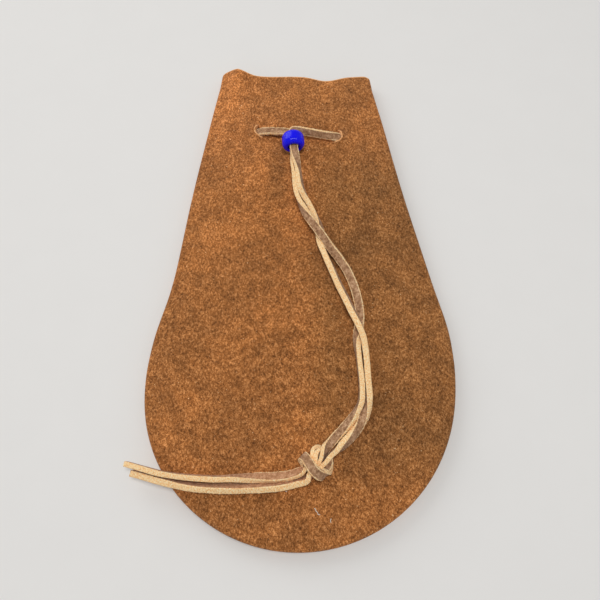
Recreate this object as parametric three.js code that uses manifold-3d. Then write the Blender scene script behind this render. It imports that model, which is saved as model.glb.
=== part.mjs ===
// Beaded medicine bag: a flat suede pouch, sewn face to face and turned, closed by one flat lace
// whose two ends run through a bead and are tied together in an overhand knot.
// It lies on its back panel. +X is to the right, +Y towards the mouth, +Z up. Millimetres.

import * as THREE from 'three';
import { mergeVertices } from 'three/addons/utils/BufferGeometryUtils.js';
import Module from 'manifold-3d';

const wasm = await Module();
wasm.setup();

// Driving dimensions of the pouch
const bellyRadius = 55;        // round bottom of the outline
const bellyToMouth = 138;      // from the belly's centre up to the mouth's corners
const mouthHalfWidth = 32.5;
const leather = 1.2;           // thickness of the suede
const layerGap = 0.3;          // air between two layers of leather, and round the lace
const seamAllowance = 7;       // leather turned in behind the edge
const crestHeight = 8.75;      // top of the front panel at the neck
const bellySwell = 0.45;       // how much higher the belly stands
const swellHalfLength = 45;
const domeDepth = 36;          // distance from the edge over which the front rises
const edgeSoftening = 6;       // distance from the edge over which the soft forms fade in
const sway = 1.76;             // sideways lean of the outline near its middle
const swayAboveBelly = 33.9;   // where that lean is largest, above the belly's centre
const swayHalfLength = 34;
const shoulder = 1.5;          // how far each side bulges out above the belly
const shoulderAboveBelly = 19;
const shoulderHalfLength = 14;
const cornerRiseLeft = 4.9;    // how far the mouth's corners stick out past its middle
const cornerRiseRight = 3;
const cornerRound = 3.5;       // rounding of those corners
const mouthInset = 2.5;        // middle of the mouth below the outline's corners
const mouthDip = 2.3;          // shallow dip in the mouth's edge, right of its middle
const mouthDipX = 12;
const mouthDipHalfWidth = 6.5;
const mouthBump = 2;           // bump in the mouth's edge, near its left corner
const mouthBumpX = -26;
const mouthBumpHalfWidth = 5.5;
const mouthReach = 35;         // length of the neck that follows the mouth's uneven edge
const bottomY = -97.75;        // lowest point of the outline, which centres the box on the origin
const originX = 0.75;          // the same for its width

// Driving dimensions of the lace and the bead
const laceWidth = 3.2;
const laceThickness = 1.3;
const laceChamfer = 0.4;
const laceFloorGap = 0.15;     // the back run of the lace lies just clear of the surface
const laceRowY = 65;           // the row of slits, along the bag
const slitX = 17;              // each slit's distance from the middle
const slitReach = 6;           // length of the lace on either side of a slit that passes through it
const beadDiameter = 9;
const beadLength = 6.2;
const beadBore = 4.5;
const beadEndRound = 1.5;      // rounding between the bead's side and its ends
const beadLean = 5;            // degrees between the bead's axis and the bag's length
const beadTravel = 12;         // length of straight lace that the bead can slide along
const beadCentre = new THREE.Vector3(-2.1, 55.4, crestHeight + layerGap + beadDiameter / 2);

// Stack of layers at the sewn edge, as heights of the middle of each layer
const foldRadius = (leather + layerGap) / 2;
const foldInset = foldRadius + leather / 2;
const backRunZ = leather / 2;
const backFlapZ = backRunZ + 2 * foldRadius;
const frontFlapZ = backFlapZ + leather + layerGap;
const frontRunZ = frontFlapZ + 2 * foldRadius;

// Outline: a circle at the bottom and straight tangent sides up to the mouth
const bellyY = bottomY + bellyRadius;
const mouthY = bellyY + bellyToMouth;
const sideAngle = Math.atan2(bellyToMouth, mouthHalfWidth)
  - Math.acos(bellyRadius / Math.hypot(mouthHalfWidth, bellyToMouth));
const tangentY = bellyY + bellyRadius * Math.sin(sideAngle);

const gauss = (d, width) => Math.exp(-((d / width) ** 2));
const clamp01 = (v) => Math.min(1, Math.max(0, v));
const smooth = (v) => clamp01(v) ** 2 * (3 - 2 * clamp01(v));

function centreLine(y) {
  return sway * gauss(y - (bellyY + swayAboveBelly), swayHalfLength) - originX;
}

function mouthLine(x) {
  const t = Math.abs(x) / mouthHalfWidth;
  const rise = (x < 0 ? cornerRiseLeft : cornerRiseRight) * t ** 3
    + mouthBump * gauss(x - mouthBumpX, mouthBumpHalfWidth)
    - mouthDip * gauss(x - mouthDipX, mouthDipHalfWidth);
  const intoCorner = clamp01((Math.abs(x - centreLine(mouthY)) - mouthHalfWidth) / cornerRound + 1);
  return mouthY - mouthInset + rise - cornerRound * (1 - Math.sqrt(1 - intoCorner ** 2));
}

// Plan position of a point of the straight pattern, after the shoulders, the sway and the uneven mouth
function drawn(x, y) {
  const spread = shoulder / bellyRadius * gauss(y - (bellyY + shoulderAboveBelly), shoulderHalfLength);
  const px = x * (1 + spread) + centreLine(y);
  const pull = smooth((y - (mouthY - mouthReach)) / mouthReach);
  return [px, y + (mouthLine(px) - mouthY) * pull];
}

function edgeDistance(x, y) {
  const hx = Math.abs(x);
  const dy = y - bellyY;
  if (Math.atan2(dy, hx) > sideAngle) {
    return bellyRadius - (hx * Math.cos(sideAngle) + dy * Math.sin(sideAngle));
  }
  return bellyRadius - Math.hypot(hx, dy);
}

// Soft forms of the front: [x, y, half width, half length, height]
const softForms = [
  [-3, 34, 5, 15, -0.35],      // valley below the bead
  [-32, -16, 6, 20, -0.35],    // slanting hollow on the left
  [28, 28, 7, 18, -0.3],       // hollow on the right
  [-4, -8, 16, 18, 0.3],       // swell in the middle
  [-28, 95, 6, 8, 2.2],        // left corner of the mouth, curled up
];

function frontRise(x, y) {
  const crest = crestHeight + bellySwell * gauss(y - bellyY, swellHalfLength) - leather / 2 - frontRunZ;
  const fromFold = edgeDistance(x, y) - foldInset;
  const edgeFade = smooth(fromFold / edgeSoftening);
  let rise = crest * (1 - (1 - clamp01(fromFold / domeDepth)) ** 3);
  const [px, py] = drawn(x, y);
  for (const [fx, fy, wx, wy, height] of softForms) {
    rise += height * gauss(px - fx, wx) * gauss(py - fy, wy) * edgeFade;
  }
  return rise;
}

// The back panel is flat, with a low ridge where it lies on the lace
const ridgeLift = laceFloorGap + laceThickness + layerGap;
const ridgeFlat = laceWidth / 2 + 1.2;   // half width of its top
const ridgeSlope = 4.8;                  // width of each slope
const ridgeFoot = ridgeFlat + ridgeSlope;

function backRise(x, y) {
  const along = clamp01((slitX + slitReach / 2 - Math.abs(x)) / slitReach);
  const across = clamp01((ridgeFoot - Math.abs(y - laceRowY)) / ridgeSlope);
  return ridgeLift * along * across;
}

// Mesh spacing
const rowSlant = 0.8;          // the rows run slightly downhill to the middle, so they start higher
const rowMargin = 3;           // space between the ridge's rows and the even ones
const mouthRows = 4;
const sideRows = 9;
const arcRows = 10;
const squareMouth = 10;        // length over which the rows turn square to the mouth
const spineDrop = 2;           // how much lower a row ends at the spine, at the belly
const spineEndDrop = 12;       // the spine's lower end, below the belly's centre
const ridgeShares = [-1, -0.62, -0.35, 0, 0.35, 0.62, 1];

// Stations down the right side from the mouth to the bottom: edge point, inward direction, spine
function sideStations() {
  const list = [];
  const half = (y) => (bellyRadius - (y - bellyY) * Math.sin(sideAngle)) / Math.cos(sideAngle);
  const rows = ridgeShares.map((share) => laceRowY + rowSlant + share * (ridgeFoot + 0.5));
  const fill = (from, to, count) => {
    for (let i = 0; i < count; i += 1) rows.push(from + (to - from) * i / count);
  };
  fill(mouthY, laceRowY + ridgeFoot + rowSlant + rowMargin, mouthRows);
  fill(laceRowY - ridgeFoot - rowMargin, tangentY, sideRows);
  rows.sort((a, b) => b - a);
  for (const y of rows) {
    const angle = sideAngle * smooth((mouthY - y) / squareMouth);
    list.push({
      edge: [half(y), y],
      inward: [-Math.cos(angle), -Math.sin(angle)],
      spineY: y - spineDrop * (mouthY - y) / (mouthY - tangentY),
    });
  }
  const spineStart = tangentY - spineDrop;
  const spineEnd = bellyY - spineEndDrop;
  for (let i = 0; i <= arcRows; i += 1) {
    const t = i / arcRows;
    const angle = sideAngle + (-Math.PI / 2 - sideAngle) * t;
    list.push({
      edge: [bellyRadius * Math.cos(angle), bellyY + bellyRadius * Math.sin(angle)],
      inward: [-Math.cos(angle), -Math.sin(angle)],
      spineY: spineStart + (spineEnd - spineStart) * t,
    });
  }
  return list;
}

const foldSteps = 4;           // faces round each fold
const nearEdge = [3.5, 8.5];   // columns that follow the edge
const acrossShares = [0.17, 0.35, 0.55, 0.78, 1];   // columns from there to the spine

// One row of a panel: seam allowance, fold, then the run in to the spine.
// Each entry holds the middle of the leather and the direction of its outer face.
function panelRow(station, side, runZ, flapZ, rise) {
  const up = Math.sign(runZ - flapZ);
  const row = [];
  const add = (depth, z, nIn, nUp) => {
    const x = station.edge[0] + station.inward[0] * depth;
    const y = station.edge[1] + station.inward[1] * depth;
    row.push({ x, y, z, n: [station.inward[0] * nIn, station.inward[1] * nIn, nUp] });
  };
  add(seamAllowance, flapZ, 0, -up);
  add((seamAllowance + foldInset) / 2, flapZ, 0, -up);
  for (let k = 0; k <= foldSteps; k += 1) {
    const angle = -Math.PI / 2 + Math.PI * k / foldSteps;
    const z = (runZ + flapZ) / 2 + up * foldRadius * Math.sin(angle);
    add(foldInset - foldRadius * Math.cos(angle), z, -Math.cos(angle), up * Math.sin(angle));
  }
  for (const depth of nearEdge) add(depth, runZ, 0, up);
  const last = row[row.length - 1];
  for (const t of acrossShares) {
    row.push({ x: last.x * (1 - t), y: last.y + (station.spineY - last.y) * t, z: runZ, n: [0, 0, up] });
  }
  return row.map((p, j) => {
    const x = p.x * side;
    const z = j > foldSteps + 2 ? p.z + rise(x, p.y) : p.z;
    const [dx, dy] = drawn(x, p.y);
    return { middle: new THREE.Vector3(dx, dy, z), n: new THREE.Vector3(p.n[0] * side, p.n[1], p.n[2]) };
  });
}

function panelGeometry(runZ, flapZ, rise) {
  const half = sideStations();
  const rows = half.map((s) => panelRow(s, 1, runZ, flapZ, rise));
  for (let i = half.length - 2; i >= 0; i -= 1) rows.push(panelRow(half[i], -1, runZ, flapZ, rise));
  const skin = (offset) => rows.map((row) => row.map(
    (p) => p.middle.clone().addScaledVector(p.n, offset * leather / 2),
  ));
  const outer = skin(1);
  const inner = skin(-1);
  const corners = [];
  const quad = (a, b, c, d) => {
    for (const v of [a, b, c, a, c, d]) corners.push(v.x, v.y, v.z);
  };
  const lastCol = outer[0].length - 1;
  const lastRow = rows.length - 1;
  for (let i = 0; i < lastRow; i += 1) {
    for (let j = 0; j < lastCol; j += 1) {
      quad(outer[i][j], outer[i + 1][j], outer[i + 1][j + 1], outer[i][j + 1]);
      quad(inner[i][j], inner[i][j + 1], inner[i + 1][j + 1], inner[i + 1][j]);
    }
    quad(outer[i][0], inner[i][0], inner[i + 1][0], outer[i + 1][0]);
  }
  for (let j = 0; j < lastCol; j += 1) {
    quad(outer[0][j], outer[0][j + 1], inner[0][j + 1], inner[0][j]);
    quad(outer[lastRow][j], inner[lastRow][j], inner[lastRow][j + 1], outer[lastRow][j + 1]);
  }
  return closedGeometry(corners);
}

function closedGeometry(corners) {
  const raw = new THREE.BufferGeometry();
  raw.setAttribute('position', new THREE.Float32BufferAttribute(corners, 3));
  const merged = mergeVertices(raw, 1e-4);
  const index = merged.index.array;
  const p = merged.attributes.position;
  const [a, b, c] = [new THREE.Vector3(), new THREE.Vector3(), new THREE.Vector3()];
  let volume = 0;
  for (let i = 0; i < index.length; i += 3) {
    a.fromBufferAttribute(p, index[i]);
    b.fromBufferAttribute(p, index[i + 1]);
    c.fromBufferAttribute(p, index[i + 2]);
    volume += a.dot(b.cross(c)) / 6;
  }
  if (volume < 0) {
    for (let i = 0; i < index.length; i += 3) [index[i], index[i + 1]] = [index[i + 1], index[i]];
  }
  return merged;
}

// Solids for joining and cutting
function toSolid(geometry) {
  const bare = geometry.clone();
  bare.deleteAttribute('normal');
  bare.deleteAttribute('uv');
  const merged = mergeVertices(bare, 1e-4);
  return new wasm.Manifold(new wasm.Mesh({
    numProp: 3,
    vertProperties: new Float32Array(merged.attributes.position.array),
    triVerts: new Uint32Array(merged.index.array),
  }));
}

function toGeometry(solid) {
  const mesh = solid.getMesh();
  const geometry = new THREE.BufferGeometry();
  const positions = new Float32Array(mesh.numVert * 3);
  for (let i = 0; i < mesh.numVert; i += 1) {
    for (let k = 0; k < 3; k += 1) positions[3 * i + k] = mesh.vertProperties[mesh.numProp * i + k];
  }
  geometry.setAttribute('position', new THREE.BufferAttribute(positions, 3));
  geometry.setIndex(new THREE.BufferAttribute(new Uint32Array(mesh.triVerts), 1));
  return geometry;
}

// The lace's route. Free ends run from the bead to their tips, as [x, y, z, tilt]: tilt 0 lies flat,
// and at -90 the ribbon stands on its edge. The bead's own stretch is worked out from its axis.
const upperEndRoute = [
  [0.6, 34.4, 13.4, -66],
  [1.9, 30.9, 12.3, -70],
  [3.5, 28.1, 11.6, -76],
  [4.9, 25.3, 11.2, -76],
  [6.2, 22.1, 11.0, -72],
  [7.3, 18.8, 10.8, -60],
  [7.9, 15.7, 10.6, -38],
  [8.1, 11.7, 10.9, -52],
  [9.6, 5.6, 11.1, -75],
  [12.1, -0.8, 11.1, -68],
  [14.5, -7.0, 11.1, -62],
  [17.0, -13.1, 11.7, -62],
  [19.1, -18.9, 12.6, -66],
  [21.0, -23.7, 13.1, -74],
  [22.1, -27.2, 12.6, -84],
  [22.7, -31.1, 11.8, -90],
  [23.1, -36.4, 11.2, -90],
  [23.2, -42.8, 11.2, -92],
  [23.2, -47.7, 11.2, -96],
  [22.6, -51.1, 11.2, -108],
  [21.3, -55.2, 10.9, -135],
  [19.0, -58.8, 10.4, -160],
  [16.2, -62.1, 10.7, -150],
  [13.2, -65.2, 11.4, -120],
  [10.1, -68.0, 12.0, -100],
  [7.0, -71.0, 12.0, -100],
  [4.4, -73.6, 11.5, -105],
  [2.1, -75.4, 11.1, -112],
  [-1.7, -76.8, 10.8, -115],
  [-7.5, -77.9, 10.5, -115],
  [-12.9, -78.3, 10.4, -115],
  [-18.4, -78.5, 10.2, -115],
  [-23.9, -78.6, 9.8, -112],
  [-29.9, -78.4, 9.3, -110],
  [-35.9, -77.9, 8.7, -108],
  [-41.0, -76.9, 8.2, -105],
  [-46.0, -75.7, 8.0, -102],
  [-50.9, -74.3, 7.4, -100],
  [-56.6, -72.7, 6.4, -98],
];
const lowerEndRoute = [
  [-1.1, 35.4, 12.7, -66],
  [-0.6, 31.4, 12.5, -72],
  [0.4, 27.6, 12.6, -88],
  [1.8, 24.3, 12.9, -110],
  [3.2, 21.5, 13.2, -130],
  [4.9, 18.5, 13.5, -150],
  [6.8, 15.2, 13.6, -160],
  [9.0, 12.0, 13.1, -160],
  [11.6, 8.3, 12.0, -152],
  [14.7, 4.2, 11.0, -152],
  [17.7, -0.9, 10.5, -160],
  [19.7, -6.2, 10.3, -166],
  [21.0, -11.4, 10.2, -170],
  [21.6, -16.1, 10.2, -172],
  [21.6, -20.4, 10.3, -172],
  [20.9, -24.3, 10.5, -160],
  [20.2, -29.0, 11.0, -110],
  [20.4, -33.4, 11.2, -94],
  [20.7, -37.8, 11.2, -92],
  [21.0, -42.4, 11.2, -92],
  [21.0, -46.6, 11.2, -94],
  [20.5, -50.4, 11.2, -102],
  [19.0, -53.5, 11.0, -116],
  [17.1, -56.2, 10.9, -126],
  [14.6, -59.1, 10.9, -130],
  [11.6, -62.3, 11.4, -130],
  [8.5, -65.2, 12.3, -125],
  [5.4, -68.0, 12.6, -120],
  [2.8, -71.2, 12.4, -125],
  [-0.2, -73.2, 11.7, -140],
  [-3.4, -74.3, 10.9, -148],
  [-7.5, -74.9, 10.4, -150],
  [-12.6, -75.1, 10.3, -140],
  [-17.5, -75.1, 10.4, -122],
  [-22.7, -75.1, 10.2, -112],
  [-28.0, -75.1, 9.8, -108],
  [-33.3, -74.8, 9.4, -105],
  [-38.7, -74.3, 8.8, -104],
  [-43.1, -73.7, 8.6, -102],
  [-47.3, -73.0, 8.9, -100],
  [-52.0, -71.7, 8.5, -98],
  [-58.7, -69.8, 7.4, -96],
];
// The part that the bag holds, from the bead out to the right, behind the back panel, and to the
// left back to the bead, as [x, y, z, heading of the ribbon's width, rise of its far edge in degrees].
const heldRoute = [
  [-2.1, 59.9, 14.2, 145, 25],
  [-0.6, 60.6, 13.7, 108, 50],
  [1.6, 60.7, 13.0, 96, 56],
  [4.4, 60.8, 12.1, 90, 57],
  [7.4, 60.7, 11.4, 88, 57],
  [11.0, 60.3, 10.8, 88, 54],
  [14.0, 60.2, 10.2, 88, 44],
  [16.4, 60.5, 9.0, 90, 26],
  [19.4, 61.3, 6.3, 90, 6],
  [21.6, 61.9, 5.6, 88, 0],
  [24.0, 62.5, 5.3, 85, 0],
  [26.0, 63.2, 4.8, 85, 0],
  [26.9, 63.7, 3.8, 85, 0],
  [26.1, 64.2, 2.7, 85, 0],
  [24.2, 64.7, 2.2, 87, 0],
  [21.4, 65.0, 2.15, 90, 0],
  [19.4, 65.0, 2.0, 90, 0],
  [14.8, 65.0, 0.85, 90, 0],
  [12.0, 65.0, 0.8, 90, 0],
  [0.0, 65.0, 0.8, 90, 0],
  [-12.0, 65.0, 0.8, 90, 0],
  [-14.8, 65.0, 0.85, 90, 0],
  [-19.4, 65.0, 2.0, 90, 0],
  [-21.4, 65.0, 2.15, 90, 0],
  [-24.2, 65.0, 2.2, 90, 0],
  [-26.1, 64.9, 2.7, 90, 0],
  [-26.9, 64.7, 3.8, 90, 0],
  [-26.0, 64.4, 4.8, 90, 0],
  [-24.0, 64.1, 5.3, 90, 0],
  [-21.6, 63.8, 5.6, 90, 0],
  [-19.4, 63.6, 6.2, 90, 0],
  [-15.8, 63.4, 9.1, 90, 0],
  [-12.4, 63.1, 10.1, 88, 0],
  [-8.8, 62.4, 10.8, 80, 0],
  [-5.4, 61.3, 11.8, 60, 5],
  [-3.3, 60.1, 12.5, 28, 5],
];

const upAxis = new THREE.Vector3(0, 0, 1);
const beadAxis = new THREE.Vector3(
  Math.sin(THREE.MathUtils.degToRad(beadLean)),
  -Math.cos(THREE.MathUtils.degToRad(beadLean)),
  0,
);
const straightPast = 0.4;      // straight lace past each end of the bead
const straightStart = -beadLength / 2 - straightPast;
const straightEnd = beadTravel + beadLength / 2 + straightPast;
const strandOffset = (laceThickness + layerGap) / 2;
const pairTurns = [0, -22, -42, -54, -61, -65];   // degrees, at even steps over the bead's travel

// Both strands run straight through the bead, one on top of the other. Over the bead's travel they
// turn together about its axis, so that their cut edges come to face up.
function beadStretch(level) {
  const stations = [[straightStart, 0], [0, 0]];
  pairTurns.forEach((turn, i) => {
    const share = i / (pairTurns.length - 1);
    stations.push([beadLength / 2 + share * (straightEnd - beadLength / 2), turn]);
  });
  return stations.map(([s, turn]) => {
    const apart = upAxis.clone().applyAxisAngle(beadAxis, THREE.MathUtils.degToRad(turn));
    const at = beadCentre.clone().addScaledVector(beadAxis, s);
    return { position: at.addScaledVector(apart, level * strandOffset), tilt: turn };
  });
}

function freeEnd(stretch, route) {
  const rest = route.map((p) => ({ position: new THREE.Vector3(p[0], p[1], p[2]), tilt: p[3] }));
  return withTangents([...stretch, ...rest]).map((p) => {
    const left = upAxis.clone().cross(p.tangent).normalize();
    const lift = p.tangent.clone().cross(left).normalize();
    const tilt = THREE.MathUtils.degToRad(p.tilt);
    return { ...p, wide: left.multiplyScalar(Math.cos(tilt)).addScaledVector(lift, Math.sin(tilt)) };
  });
}

function heldPart() {
  return heldRoute.map((p) => {
    const heading = THREE.MathUtils.degToRad(p[3]);
    const rise = THREE.MathUtils.degToRad(p[4]);
    const wide = new THREE.Vector3(Math.cos(heading), Math.sin(heading), 0)
      .multiplyScalar(Math.cos(rise)).addScaledVector(upAxis, Math.sin(rise));
    return { position: new THREE.Vector3(p[0], p[1], p[2]), wide };
  });
}

function withTangents(points) {
  return points.map((p, i) => {
    const from = points[Math.max(0, i - 1)].position;
    const to = points[Math.min(points.length - 1, i + 1)].position;
    return { ...p, tangent: to.clone().sub(from).normalize() };
  });
}

function laceStations() {
  const upper = freeEnd(beadStretch(1), upperEndRoute).reverse();
  const lower = freeEnd(beadStretch(-1), lowerEndRoute);
  const all = withTangents([...upper, ...heldPart(), ...lower]);
  let last = null;
  for (const s of all) {
    s.wide = s.wide.clone().addScaledVector(s.tangent, -s.wide.dot(s.tangent)).normalize();
    if (last && s.wide.dot(last) < 0) s.wide.negate();
    last = s.wide;
  }
  return all;
}

// A path whose section keeps the width that each station gives
class RibbonPath extends THREE.Curve {
  constructor(stations) {
    super();
    this.stations = stations;
  }

  getPoint(t) {
    const i = Math.round(t * (this.stations.length - 1));
    return this.stations[i].position.clone();
  }

  getSpacedPoints() {
    return this.stations.map((s) => s.position.clone());
  }

  computeFrenetFrames() {
    const tangents = this.stations.map((s) => s.tangent.clone());
    const normals = this.stations.map((s) => s.wide.clone());
    const binormals = this.stations.map((s) => s.tangent.clone().cross(s.wide).normalize());
    return { tangents, normals, binormals };
  }
}

function ribbonSection(width, thickness, chamfer) {
  const w = width / 2;
  const t = thickness / 2;
  const shape = new THREE.Shape();
  shape.moveTo(w, t - chamfer);
  shape.lineTo(w - chamfer, t);
  shape.lineTo(-w + chamfer, t);
  shape.lineTo(-w, t - chamfer);
  shape.lineTo(-w, -t + chamfer);
  shape.lineTo(-w + chamfer, -t);
  shape.lineTo(w - chamfer, -t);
  shape.lineTo(w, -t + chamfer);
  shape.closePath();
  return shape;
}

function ribbonSolid(stations, grow) {
  const section = ribbonSection(laceWidth + 2 * grow, laceThickness + 2 * grow, laceChamfer);
  const extrude = { steps: stations.length - 1, bevelEnabled: false, extrudePath: new RibbonPath(stations) };
  return toSolid(new THREE.ExtrudeGeometry(section, extrude));
}

// The overhand knot: bands wrapped round the two strands, over a packed middle
const knotCentre = new THREE.Vector3(6.0, -69.6, 13.0);
const knotHeading = 226;       // direction of the strands through the knot, in degrees
const knotReach = 5.6;         // half width of the wraps across the strands
const knotHeight = 3.3;        // half height of the wraps
const knotTightness = 0.85;    // length of the packed middle as a share of its width
const wraps = [{ shift: 0.6, slant: 14 }, { shift: -1.4, slant: -20 }];

function wrapBand({ shift, slant }) {
  const section = ribbonSection(laceThickness, laceWidth, laceChamfer).getPoints();
  section.push(section[0].clone());
  const outline = section.map((p) => new THREE.Vector2(knotReach - laceThickness / 2 + p.x, p.y));
  const band = new THREE.LatheGeometry(outline, 20);
  band.scale(1, 1, knotHeight / knotReach);
  band.rotateZ(THREE.MathUtils.degToRad(slant));
  band.translate(0, shift, 0);
  return band;
}

function knotSolid() {
  const middle = new THREE.SphereGeometry(knotReach - laceThickness / 2, 16, 10);
  middle.scale(1, knotTightness, (knotHeight - laceThickness / 2) / knotReach);
  let knot = null;
  for (const shape of [middle, ...wraps.map(wrapBand)]) {
    shape.rotateZ(THREE.MathUtils.degToRad(knotHeading - 270));
    shape.translate(knotCentre.x, knotCentre.y, knotCentre.z);
    const solid = toSolid(shape);
    knot = knot ? knot.add(solid) : solid;
  }
  return knot;
}

// The bead: a barrel with a round bore, turned about its own axis
function beadGeometry() {
  const outerR = beadDiameter / 2;
  const boreR = beadBore / 2;
  const half = beadLength / 2;
  const lip = 0.4;             // rounding of the bore's rim
  const profile = [new THREE.Vector2(boreR, -half + lip), new THREE.Vector2(boreR, half - lip)];
  profile.push(new THREE.Vector2(boreR + lip * 0.3, half - lip * 0.3));
  profile.push(new THREE.Vector2(boreR + lip, half));
  const arc = (sign) => {
    const side = [];
    for (let k = 0; k <= 4; k += 1) {
      const angle = Math.PI / 2 * k / 4;
      const r = outerR - beadEndRound * (1 - Math.sin(angle));
      side.push(new THREE.Vector2(r, sign * (half - beadEndRound * (1 - Math.cos(angle)))));
    }
    return side;
  };
  profile.push(...arc(1), ...arc(-1).reverse());
  profile.push(new THREE.Vector2(boreR + lip, -half));
  profile.push(new THREE.Vector2(boreR + lip * 0.3, -half + lip * 0.3));
  profile.push(profile[0].clone());
  return new THREE.LatheGeometry(profile.reverse(), 24);
}

// Materials
const suede = new THREE.MeshStandardMaterial({ color: 0x7a4a26, roughness: 0.95, metalness: 0 });
const laceLeather = new THREE.MeshStandardMaterial({ color: 0xa57a55, roughness: 0.9, metalness: 0 });
const blueGloss = new THREE.MeshStandardMaterial({ color: 0x0a14d8, roughness: 0.15, metalness: 0 });

// Assembly
const bag = new THREE.Group();

function addPiece(name, geometry, material) {
  const piece = new THREE.Mesh(geometry, material);
  piece.name = name;
  bag.add(piece);
  return piece;
}

// Each slit follows the lace that passes through it, with the layer gap all round
const seamZ = (backFlapZ + frontFlapZ) / 2;
const lace = laceStations();

function cutSlits(geometry, isFront) {
  let solid = toSolid(geometry);
  for (const side of [-1, 1]) {
    const passing = lace.filter(({ position: p }) => Math.abs(p.x * side - slitX) < slitReach
      && Math.abs(p.y - laceRowY) < slitReach && (p.z > seamZ) === isFront);
    solid = solid.subtract(ribbonSolid(passing, layerGap));
  }
  return toGeometry(solid);
}

addPiece('front_panel', cutSlits(panelGeometry(frontRunZ, frontFlapZ, frontRise), true), suede);
addPiece('back_panel', cutSlits(panelGeometry(backRunZ, backFlapZ, backRise), false), suede);
addPiece('drawstring_lace', toGeometry(ribbonSolid(lace, 0).add(knotSolid())), laceLeather);

const bead = addPiece('bead', beadGeometry(), blueGloss);
bead.quaternion.setFromUnitVectors(new THREE.Vector3(0, 1, 0), beadAxis);
bead.position.copy(beadCentre);

export default bag;
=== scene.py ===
from math import acos, atan2, ceil, copysign, cos, hypot, inf, pi, radians, sin

import bmesh
import bpy
import numpy as np
from mathutils import Matrix, Vector, noise


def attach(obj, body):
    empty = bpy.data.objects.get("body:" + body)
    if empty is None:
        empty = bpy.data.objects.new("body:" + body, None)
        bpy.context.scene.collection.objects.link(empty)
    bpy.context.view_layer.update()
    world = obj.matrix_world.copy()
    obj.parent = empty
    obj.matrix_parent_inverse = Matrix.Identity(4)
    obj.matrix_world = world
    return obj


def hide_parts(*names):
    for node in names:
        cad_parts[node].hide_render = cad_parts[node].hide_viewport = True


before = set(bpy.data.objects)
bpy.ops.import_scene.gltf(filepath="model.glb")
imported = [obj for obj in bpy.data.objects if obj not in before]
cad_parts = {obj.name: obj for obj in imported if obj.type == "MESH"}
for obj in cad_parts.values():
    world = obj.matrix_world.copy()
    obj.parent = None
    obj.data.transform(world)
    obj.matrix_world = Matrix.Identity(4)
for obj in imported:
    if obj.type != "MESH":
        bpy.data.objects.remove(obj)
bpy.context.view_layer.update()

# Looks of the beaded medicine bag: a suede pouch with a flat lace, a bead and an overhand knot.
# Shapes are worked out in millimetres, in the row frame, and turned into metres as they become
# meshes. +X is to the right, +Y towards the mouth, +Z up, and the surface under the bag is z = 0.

MM = 0.001

# Driving dimensions of the pouch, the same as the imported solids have
BELLY_RADIUS = 55.0
BELLY_TO_MOUTH = 138.0
MOUTH_HALF_WIDTH = 32.5
LEATHER = 1.2
LAYER_GAP = 0.3
SEAM_ALLOWANCE = 7.0
CREST_HEIGHT = 8.75
BELLY_SWELL = 0.45
SWELL_HALF_LENGTH = 45.0
DOME_DEPTH = 36.0
EDGE_SOFTENING = 6.0
SWAY = 1.76
SWAY_ABOVE_BELLY = 33.9
SWAY_HALF_LENGTH = 34.0
SHOULDER = 1.5
SHOULDER_ABOVE_BELLY = 19.0
SHOULDER_HALF_LENGTH = 14.0
CORNER_RISE_LEFT = 4.9
CORNER_RISE_RIGHT = 3.0
CORNER_ROUND = 3.5
MOUTH_INSET = 2.5
MOUTH_DIP = 2.3
MOUTH_DIP_X = 12.0
MOUTH_DIP_HALF_WIDTH = 6.5
MOUTH_BUMP = 2.0
MOUTH_BUMP_X = -26.0
MOUTH_BUMP_HALF_WIDTH = 5.5
MOUTH_REACH = 35.0
BOTTOM_Y = -97.75
ORIGIN_X = 0.75

# Driving dimensions of the lace and the bead
LACE_WIDTH = 3.2
LACE_THICKNESS = 1.3
LACE_FLOOR_GAP = 0.15
LACE_ROW_Y = 65.0
SLIT_X = 17.0
SLIT_REACH = 6.0
BEAD_DIAMETER = 9.0
BEAD_LENGTH = 6.2
BEAD_BORE = 4.5
BEAD_LEAN = radians(5)
BEAD_TRAVEL = 12.0
BEAD_CENTRE = np.array([-2.1, 55.4, CREST_HEIGHT + LAYER_GAP + BEAD_DIAMETER / 2])

# Stack of layers at the sewn edge, as heights of the middle of each layer
FOLD_RADIUS = (LEATHER + LAYER_GAP) / 2
FOLD_INSET = FOLD_RADIUS + LEATHER / 2
BACK_RUN_Z = LEATHER / 2
BACK_FLAP_Z = BACK_RUN_Z + 2 * FOLD_RADIUS
FRONT_FLAP_Z = BACK_FLAP_Z + LEATHER + LAYER_GAP
FRONT_RUN_Z = FRONT_FLAP_Z + 2 * FOLD_RADIUS

BELLY_Y = BOTTOM_Y + BELLY_RADIUS
MOUTH_Y = BELLY_Y + BELLY_TO_MOUTH
SIDE_ANGLE = atan2(BELLY_TO_MOUTH, MOUTH_HALF_WIDTH) - acos(
    BELLY_RADIUS / hypot(MOUTH_HALF_WIDTH, BELLY_TO_MOUTH))
TANGENT_Y = BELLY_Y + BELLY_RADIUS * sin(SIDE_ANGLE)


# Small helpers
def clamp01(v):
    return np.clip(v, 0.0, 1.0)


def smooth(v):
    return clamp01(v) ** 2 * (3 - 2 * clamp01(v))


def gauss(distance, width):
    return np.exp(-(distance / width) ** 2)


def unit(v):
    return v / np.linalg.norm(v, axis=-1, keepdims=True)


def lumps(points, wavelength, seed):
    """Smooth noise from -1 to 1 at each point, in millimetres."""
    shift = Vector((seed * 17.3, seed * 5.9, seed * 11.7))
    return np.array([noise.noise(Vector(p) / wavelength + shift) for p in points]) * 1.6


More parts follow.
